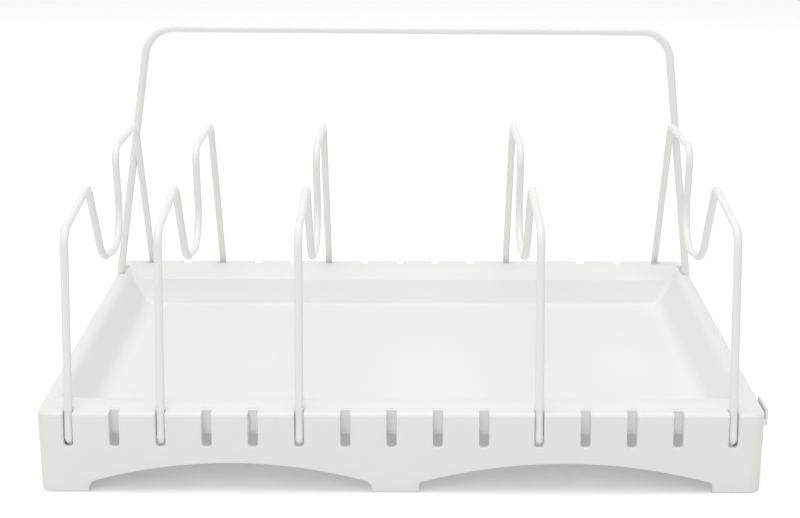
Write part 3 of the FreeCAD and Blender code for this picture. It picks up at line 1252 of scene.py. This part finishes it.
@dataclass
class TallRail:
    """The tall rail at the back.

    Attributes:
        wire: Wire that it is bent from.
        node: Node that it stands in for.
        left_height: Height of the upper left corner.
        right_height: Height of the upper right corner.
        left_lean_deg: How far the left leg leans in.
        right_lean_deg: How far the right leg leans in.
        rim_height: Height at which the legs begin to lean.
        foot_run: Length of the feet.
        foot_bend: Radius of the bend at each foot.
        leg_bend: Radius of the bend where the lean begins.
        corner_bend: Radius of the upper corners.
    """

    wire: BentWire
    node: str = "tall_rail"
    left_height: float = 180.6 * MM
    right_height: float = 178.7 * MM
    left_lean_deg: float = 8.6
    right_lean_deg: float = 6.5
    rim_height: float = 39.3 * MM
    foot_run: float = 14.0 * MM
    foot_bend: float = 5.0 * MM
    leg_bend: float = 14.0 * MM
    corner_bend: float = 16.5 * MM

    def build(self, finish: bpy.types.Material) -> None:
        """Bend the rail where its node is.

        Args:
            finish: Finish of the wire.
        """
        right = self.leg(1, self.right_height, self.right_lean_deg)
        left = self.leg(-1, self.left_height, self.left_lean_deg)
        radii = [self.foot_bend, self.leg_bend, self.corner_bend]
        rail = self.wire.shape(right + left[::-1], radii + radii[::-1])
        rail.data.materials.append(finish)
        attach(rail, "root")
        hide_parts(self.node)
        log.info("%s stands in for %s", rail.name, self.node)

    def leg(self, side: int, height: float, lean_deg: float) -> list[Vector]:
        """List the points of one leg, from the end of its foot to its upper corner.

        Args:
            side: 1 for the right leg and -1 for the left one.
            height: Height of its upper corner.
            lean_deg: How far it leans in.

        Returns:
            The points.
        """
        low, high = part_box(self.node)
        half_wire = self.wire.diameter / 2
        foot_x = high.x - half_wire
        foot_y = low.y + half_wire
        foot_z = low.z + half_wire
        corner_x = foot_x - (height - self.rim_height) * math.tan(math.radians(lean_deg))
        return [
            Vector((side * foot_x, foot_y + self.foot_run, foot_z)),
            Vector((side * foot_x, foot_y, foot_z)),
            Vector((side * foot_x, foot_y, self.rim_height)),
            Vector((side * corner_x, foot_y, height)),
        ]


@dataclass(frozen=True)
class SoftBox:
    """A square soft box aimed at the rack.

    Attributes:
        name: Name of the lamp.
        power: Power in watts.
        size: Side of the square.
        place: Place of its middle.
    """

    name: str
    power: float
    size: float
    place: tuple[float, float, float]

    def build(self) -> None:
        """Hang the soft box and aim it at the rack."""
        lamp = bpy.data.lights.new(self.name, "AREA")
        lamp.shape = "SQUARE"
        lamp.size = self.size
        lamp.energy = self.power
        box = bpy.data.objects.new(self.name, lamp)
        bpy.context.scene.collection.objects.link(box)
        box.location = self.place
        box.rotation_euler = Vector(self.place).to_track_quat("Z", "Y").to_euler()


@dataclass
class Studio:
    """Plain pale floor and soft light.

    Attributes:
        floor_half: Half the length of the floor's side.
        floor_tones: Display tones of the floor.
        floor_roughness: Roughness of the floor.
        floor_specular: Strength of the floor's reflections.
        floor_glow: Light of its own that the floor shows to the camera.
        surround: Strength of the even light from all round.
        soft_boxes: Soft boxes overhead and in front.
    """

    floor_half: float = 3.0
    floor_tones: tuple[float, float, float] = (244, 244, 244)
    floor_roughness: float = 0.9
    floor_specular: float = 0.1
    floor_glow: float = 0.34
    surround: float = 0.49
    soft_boxes: tuple[SoftBox, ...] = (
        SoftBox("overhead_box", 19.0, 1.6, (-0.1, -0.1, 1.9)),
        SoftBox("front_box", 6.0, 1.1, (-0.35, -1.7, 1.05)),
    )

    def build(self) -> None:
        """Build the floor, the surround and the soft boxes."""
        self.build_floor()
        self.build_surround()
        for box in self.soft_boxes:
            box.build()
        bpy.context.scene.view_settings.view_transform = "Standard"

    def build_floor(self) -> None:
        """Lay the floor and give it its material."""
        bpy.ops.mesh.primitive_plane_add(size=2 * self.floor_half)
        floor = bpy.context.active_object
        floor.name = "studio_floor"
        material = bpy.data.materials.new("studio_floor")
        material.use_nodes = True
        nodes = material.node_tree.nodes
        links = material.node_tree.links
        shader = nodes["Principled BSDF"]
        shader.inputs["Base Color"].default_value = paint(self.floor_tones)
        shader.inputs["Roughness"].default_value = self.floor_roughness
        shader.inputs["Specular IOR Level"].default_value = self.floor_specular
        shader.inputs["Emission Color"].default_value = (1, 1, 1, 1)
        seen = self.seen_directly(material)
        glow = nodes.new("ShaderNodeMath")
        glow.operation = "MULTIPLY"
        glow.inputs[1].default_value = self.floor_glow
        links.new(seen, glow.inputs[0])
        links.new(glow.outputs[0], shader.inputs["Emission Strength"])
        floor.data.materials.append(material)

    def seen_directly(self, owner: bpy.types.Material | bpy.types.World) -> bpy.types.NodeSocket:
        """Make a value that is 1 for what the camera sees directly, in a reflection or through glass.

        Args:
            owner: Material or world that uses the value.

        Returns:
            The value's socket.
        """
        nodes = owner.node_tree.nodes
        links = owner.node_tree.links
        path = nodes.new("ShaderNodeLightPath")
        seen = path.outputs["Is Camera Ray"]
        for kind in ("Is Glossy Ray", "Is Transmission Ray"):
            either = nodes.new("ShaderNodeMath")
            either.operation = "MAXIMUM"
            links.new(seen, either.inputs[0])
            links.new(path.outputs[kind], either.inputs[1])
            seen = either.outputs[0]
        return seen

    def build_surround(self) -> None:
        """Light the rack evenly from all round, in front of a white background."""
        world = bpy.data.worlds.new("studio")
        world.use_nodes = True
        bpy.context.scene.world = world
        nodes = world.node_tree.nodes
        links = world.node_tree.links
        background = nodes["Background"]
        background.inputs["Color"].default_value = (1, 1, 1, 1)
        seen = self.seen_directly(world)
        strength = nodes.new("ShaderNodeMapRange")
        strength.inputs["To Min"].default_value = self.surround
        strength.inputs["To Max"].default_value = 1.0
        links.new(seen, strength.inputs["Value"])
        links.new(strength.outputs["Result"], background.inputs["Strength"])


@dataclass
class PhotoCamera:
    """Camera at the photograph's viewing angle.

    Attributes:
        lens: Focal length in millimetres, for the sensor width.
        sensor: Sensor width in millimetres.
        place: Place of the camera.
        pitch_deg: Angle at which it looks down.
        yaw_deg: Angle at which it looks to the left.
    """

    lens: float = 79.1
    sensor: float = 36.0
    place: tuple[float, float, float] = (4.9 * MM, -876.2 * MM, 318.15 * MM)
    pitch_deg: float = 15.5
    yaw_deg: float = 0.39

    def build(self) -> None:
        """Place the camera and make it the scene's own."""
        data = bpy.data.cameras.new("photo_camera")
        data.lens = self.lens
        data.sensor_width = self.sensor
        camera = bpy.data.objects.new("photo_camera", data)
        bpy.context.scene.collection.objects.link(camera)
        turn = Matrix.Rotation(math.radians(self.yaw_deg), 4, "Z")
        tilt = Matrix.Rotation(math.radians(90 - self.pitch_deg), 4, "X")
        camera.matrix_world = Matrix.Translation(self.place) @ turn @ tilt
        bpy.context.scene.camera = camera


def main() -> None:
    """Build the rack's pieces around the frame, then the studio and the camera."""
    logging.basicConfig(level=logging.INFO, format="%(message)s")
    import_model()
    plastic = MouldedPlastic().build()
    coating = CoatedWire().build()

    tray = MouldedTray()
    tray.build(plastic)
    LidDividers(BentWire("divider_wire", 3.9 * MM)).build(2 * tray.half_depth, coating)
    TallRail(BentWire("rail_wire", 4.3 * MM)).build(coating)

    Studio().build()
    PhotoCamera().build()


if __name__ == "__main__":
    main()
